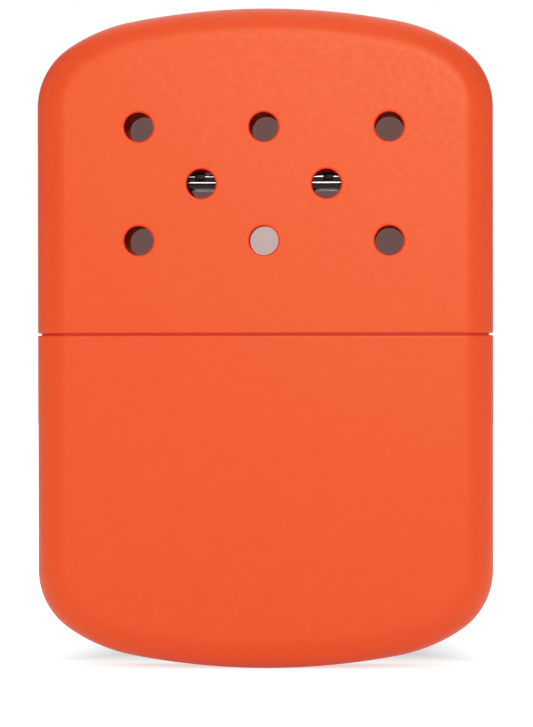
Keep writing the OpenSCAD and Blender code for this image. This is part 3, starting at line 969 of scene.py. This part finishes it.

# ----------------------------------------
# The stage: a white floor that keeps the object's soft shadow, and white all round. Close
# behind the lid's back vents a dim card moves with the lid and glows, a painted shade, so
# that a camera in front sees it and no white through them. From behind, and for all light, the card isn't
# there.
floor_size = 3.0
bpy.ops.mesh.primitive_plane_add(size=floor_size, location=(0, 0, 0))
ground = bpy.context.object
ground.name = "floor"
floor_paint, shader, node = new_material("white floor")
shader.inputs["Roughness"].default_value = 0.9
shader.inputs["Specular IOR Level"].default_value = 0.0
ray = node("ShaderNodeLightPath").outputs
shiny = maths(node, "MAXIMUM", ray["Is Glossy Ray"], ray["Is Transmission Ray"])
seen = maths(node, "MAXIMUM", ray["Is Camera Ray"], shiny)
spot = own_place(node)
place = node("ShaderNodeTexCoord").outputs["Object"]
away = node("ShaderNodeVectorMath", {0: place}, operation="LENGTH").outputs["Value"]

# close to the object a cooler grey takes back the warm light that its paint throws there
white = (0.80, 0.80, 0.80)
cool_tones = (0.68, 0.82, 0.83), (0.52, 0.84, 0.89)
# own_glow: the floor's faint glow for all rays but the camera's, a painted light on the object's underside
own_glow = 0.20
cool = blend_colour(node, remap(node, spot["Y"], 1, 0, start=-0.007, end=0.015), *cool_tones)
near = blend_colour(node, remap(node, away, 0, 1, start=0.03, end=0.10), cool, white)
paper = blend_colour(node, seen, white, near)
link(paper, shader.inputs["Base Color"])

# for the camera the floor glows, up to white away from the object, soonest in front of it and beside it;
# close behind it the glow stays weak, a painted shadow added to the lamps' shadow
white_out = remap(node, away, 0.12, 1.0, start=0.025, end=0.20)
sides = remap(node, maths(node, "ABSOLUTE", spot["X"]), 0.0, 0.45, start=0.022, end=0.036)
front = remap(node, spot["Y"], 0.42, 0.0, start=0.006, end=0.021)
ahead = remap(node, spot["Y"], 0.30, 0.0, start=-0.008, end=0.004)
shine = maths(node, "ADD", white_out, maths(node, "ADD", maths(node, "MAXIMUM", sides, front), ahead))
glow = node("ShaderNodeMix", {0: ray["Is Camera Ray"], 2: own_glow, 3: shine}, data_type="FLOAT")
shader.inputs["Emission Color"].default_value = (1, 1, 1, 1)
link(glow.outputs[0], shader.inputs["Emission Strength"])
ground.data.materials.append(floor_paint)

card_edge = 1
card_gap = 0.1
card_shade_tone = (0.150, 0.084, 0.078, 1)
card_w = 2 * vent_pitch + vent_d + 2 * card_edge
card_h = 2 * vent_row + vent_d + 2 * card_edge
card_y = half_t + card_gap
card_points = [(sx * card_w / 2, card_y, vent_z + sz * card_h / 2)
               for sx, sz in ((-1, -1), (1, -1), (1, 1), (-1, 1))]
card_mesh = bpy.data.meshes.new("card")
card_mesh.from_pydata([[c / 1000 for c in p] for p in card_points], [], [(0, 1, 2, 3)])
card = bpy.data.objects.new("card", card_mesh)
bpy.context.collection.objects.link(card)
card_paper, _, node = new_material("dim card")
facing = node("ShaderNodeNewGeometry")
ray = node("ShaderNodeLightPath")
shown = maths(node, "SUBTRACT", ray.outputs["Is Camera Ray"], facing.outputs["Backfacing"])
clear = node("ShaderNodeBsdfTransparent")
# the card glows a dim red-brown for the camera alone: painted shade
dim = node("ShaderNodeEmission", {"Color": card_shade_tone})
card_look = node("ShaderNodeMixShader", {0: shown, 1: clear.outputs[0], 2: dim.outputs[0]})
link(card_look.outputs[0], card_paper.node_tree.nodes["Material Output"].inputs["Surface"])
card_mesh.materials.append(card_paper)
card.visible_diffuse = False
card.visible_glossy = False
card.visible_transmission = False
card.visible_shadow = False
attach(card, "lid")

# the room: even light that is a little stronger from above and from the sides, white for
# the camera, and for shiny metal bright in front and behind with dim sides
ambient = 0.475
side_boost = 0.35
top_boost = 0.3
sky = bpy.data.worlds.new("studio")
bpy.context.scene.world = sky
sky.use_nodes = True
sky.cycles.sampling_method = "NONE"
sky.node_tree.nodes.clear()
node = node_maker(sky.node_tree)
toward = node("ShaderNodeTexCoord").outputs["Generated"]
heading = node("ShaderNodeSeparateXYZ", {"Vector": toward}).outputs
beside = maths(node, "ABSOLUTE", heading["X"])
from_sides = remap(node, beside, 0.0, side_boost, start=0.3, end=0.9)
from_above = remap(node, heading["Z"], ambient, ambient + top_boost, start=0.2, end=1.0)
in_front = remap(node, beside, 0.80, 0.12, start=0.10, end=0.45)
behind = remap(node, beside, 1.00, 0.12, start=0.25, end=0.55)
turned = remap(node, heading["Y"], 0, 1, start=-0.1, end=0.1)
mirrored = node("ShaderNodeMix", {0: turned, 2: in_front, 3: behind}, data_type="FLOAT").outputs[0]
strengths = (maths(node, "ADD", from_sides, from_above), mirrored, 1.0)
even, shining, white_wall = [
    node("ShaderNodeBackground", {"Color": (1, 1, 1, 1), "Strength": strength}).outputs[0]
    for strength in strengths]
ray = node("ShaderNodeLightPath").outputs
shiny = maths(node, "MAXIMUM", ray["Is Glossy Ray"], ray["Is Transmission Ray"])
unseen = node("ShaderNodeMixShader", {0: shiny, 1: even, 2: shining})
room = node("ShaderNodeMixShader", {0: ray["Is Camera Ray"], 1: unseen.outputs[0], 2: white_wall})
node("ShaderNodeOutputWorld", {"Surface": room.outputs[0]})

# ----------------------------------------
# The lamps: a wide low soft box just above the camera and a little to the right, and one
# higher up that lights the rounding along the top. Both are plain white.
lamp_aim = Vector((0, 0, 0.05))
for name, place, width, depth, power in (
        ("key lamp", (0.08, -0.62, 0.19), 0.26, 0.10, 0.60),
        ("high lamp", (0.04, -0.56, 0.37), 0.30, 0.12, 0.42)):
    light = bpy.data.lights.new(name, "AREA")
    light.shape = "RECTANGLE"
    light.size = width
    light.size_y = depth
    light.energy = power
    lamp = bpy.data.objects.new(name, light)
    lamp.location = place
    lamp.rotation_euler = (lamp_aim - Vector(place)).to_track_quat("-Z", "Y").to_euler()
    bpy.context.collection.objects.link(lamp)

# ----------------------------------------
# The camera: at mid height, half a metre away and slightly to the right, as in the
# photograph, with a long lens turned to the object's middle.
camera_place = (0.0206, -0.526, 0.0485)
camera_turn = radians(2.23)
camera_rise = radians(-0.403)
camera_roll = radians(0.08)
lens_mm = 240.65
sensor_mm = 36

view = bpy.data.cameras.new("camera")
view.sensor_fit = "HORIZONTAL"
view.sensor_width = sensor_mm
view.lens = lens_mm
view.clip_start = 0.01
view.clip_end = 20
camera = bpy.data.objects.new("camera", view)
bpy.context.collection.objects.link(camera)
aim = Euler((pi / 2 + camera_rise, 0, camera_turn), "XYZ").to_matrix()
aim = aim @ Matrix.Rotation(-camera_roll, 3, "Z")
camera.matrix_world = Matrix.Translation(camera_place) @ aim.to_4x4()
bpy.context.scene.camera = camera
bpy.context.scene.view_settings.view_transform = "Standard"
